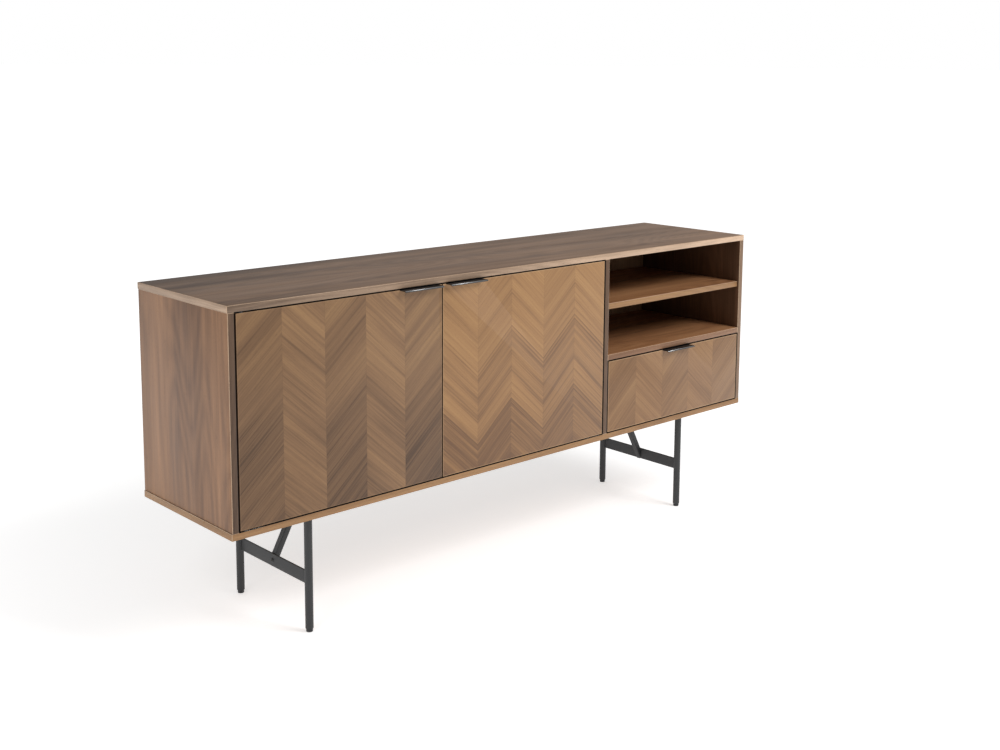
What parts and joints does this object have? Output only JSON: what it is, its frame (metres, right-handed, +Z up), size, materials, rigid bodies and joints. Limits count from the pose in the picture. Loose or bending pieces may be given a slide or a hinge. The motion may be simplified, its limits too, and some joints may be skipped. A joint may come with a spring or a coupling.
{
  "type": "sideboard",
  "caption": "Low sideboard in chevron walnut veneer with hinged doors, a drawer under an open niche, edge pulls and a slim black steel leg frame.",
  "frame": {"origin": "on the floor, under the middle of the outline with the pulls counted in its depth", "axes": "+X along the width, +Y to the back, +Z up; the front faces -Y"},
  "size_m": [1.65, 0.39, 0.75],
  "materials": {
    "carcass_veneer": "walnut veneer with a satin lacquer",
    "front_veneer": "walnut veneer in slanting strips with a satin lacquer",
    "back_veneer": "plain walnut veneer",
    "drawer_wood": "pale wood, clear lacquer",
    "dowel_wood": "bare beech",
    "frame_metal": "fine matt powder coat, anthracite",
    "pull_metal": "matt black",
    "dark_screws": "black oxide",
    "runner_steel": "zinc plated",
    "plated_steel": "nickel plated",
    "plastic": "black nylon"
  },
  "bodies": {
    "root": {"top_panel": "carcass_veneer", "bottom_panel": "carcass_veneer", "left_side_panel": "carcass_veneer", "right_side_panel": "carcass_veneer", "divider_panel": "carcass_veneer", "centre_partition": "carcass_veneer", "drawer_top_shelf": "carcass_veneer", "niche_shelf": "carcass_veneer", "left_inner_shelf": "carcass_veneer", "right_inner_shelf": "carcass_veneer", "back_panel": "back_veneer", "dowels": "dowel_wood", "front_left_leg": "frame_metal", "front_right_leg": "frame_metal", "rear_left_leg": "frame_metal", "rear_right_leg": "frame_metal", "left_crossbar": "frame_metal", "right_crossbar": "frame_metal", "left_strut": "frame_metal", "right_strut": "frame_metal", "leg_plates": "frame_metal", "strut_plates": "frame_metal", "leg_screws": "dark_screws", "strut_bolts": "dark_screws", "left_runner_cabinet_member": "runner_steel", "right_runner_cabinet_member": "runner_steel", "hinge_plates": "plated_steel", "hinge_screws": "plated_steel", "catch_screws": "plated_steel", "runner_cabinet_screws": "plated_steel", "shelf_pins": "plated_steel", "foot_glides": "plastic", "door_catches": "plastic"},
    "left_door": {"left_door": "front_veneer", "left_door_pull": "pull_metal", "left_pull_screws": "dark_screws", "left_door_bushes": "plastic", "left_strike_plate": "plated_steel"},
    "right_door": {"right_door": "front_veneer", "right_door_pull": "pull_metal", "right_pull_screws": "dark_screws", "right_door_bushes": "plastic", "right_strike_plate": "plated_steel"},
    "drawer": {"drawer_front": "front_veneer", "drawer_inner_front": "drawer_wood", "drawer_left_side": "drawer_wood", "drawer_right_side": "drawer_wood", "drawer_back": "drawer_wood", "drawer_bottom": "drawer_wood", "drawer_front_screws": "plated_steel", "drawer_pull": "pull_metal", "drawer_pull_screws": "dark_screws", "left_runner_drawer_member": "runner_steel", "right_runner_drawer_member": "runner_steel", "runner_drawer_screws": "plated_steel"},
    "left_runner": {"left_runner_middle_member": "runner_steel"},
    "right_runner": {"right_runner_middle_member": "runner_steel"}
  },
  "joints": [
    {"name": "left_door_hinge", "type": "hinge", "parent": "root", "child": "left_door", "pos_m": [-0.7915, -0.169, 0.509], "axis": [0, 0, -1], "range_deg": [0, 95]},
    {"name": "right_door_hinge", "type": "hinge", "parent": "root", "child": "right_door", "pos_m": [0.2425, -0.169, 0.509], "axis": [0, 0, 1], "range_deg": [0, 95]},
    {"name": "drawer_slide", "type": "slide", "parent": "root", "child": "drawer", "axis": [0, -1, 0], "range_m": [0, 0.3]},
    {"name": "left_runner_slide", "type": "slide", "parent": "root", "child": "left_runner", "axis": [0, -1, 0], "range_m": [0, 0.15]},
    {"name": "right_runner_slide", "type": "slide", "parent": "root", "child": "right_runner", "axis": [0, -1, 0], "range_m": [0, 0.15]}
  ],
  "couplings": [
    {"joint": "left_runner_slide", "follows": "drawer_slide", "ratio": 0.5},
    {"joint": "right_runner_slide", "follows": "drawer_slide", "ratio": 0.5}
  ]
}
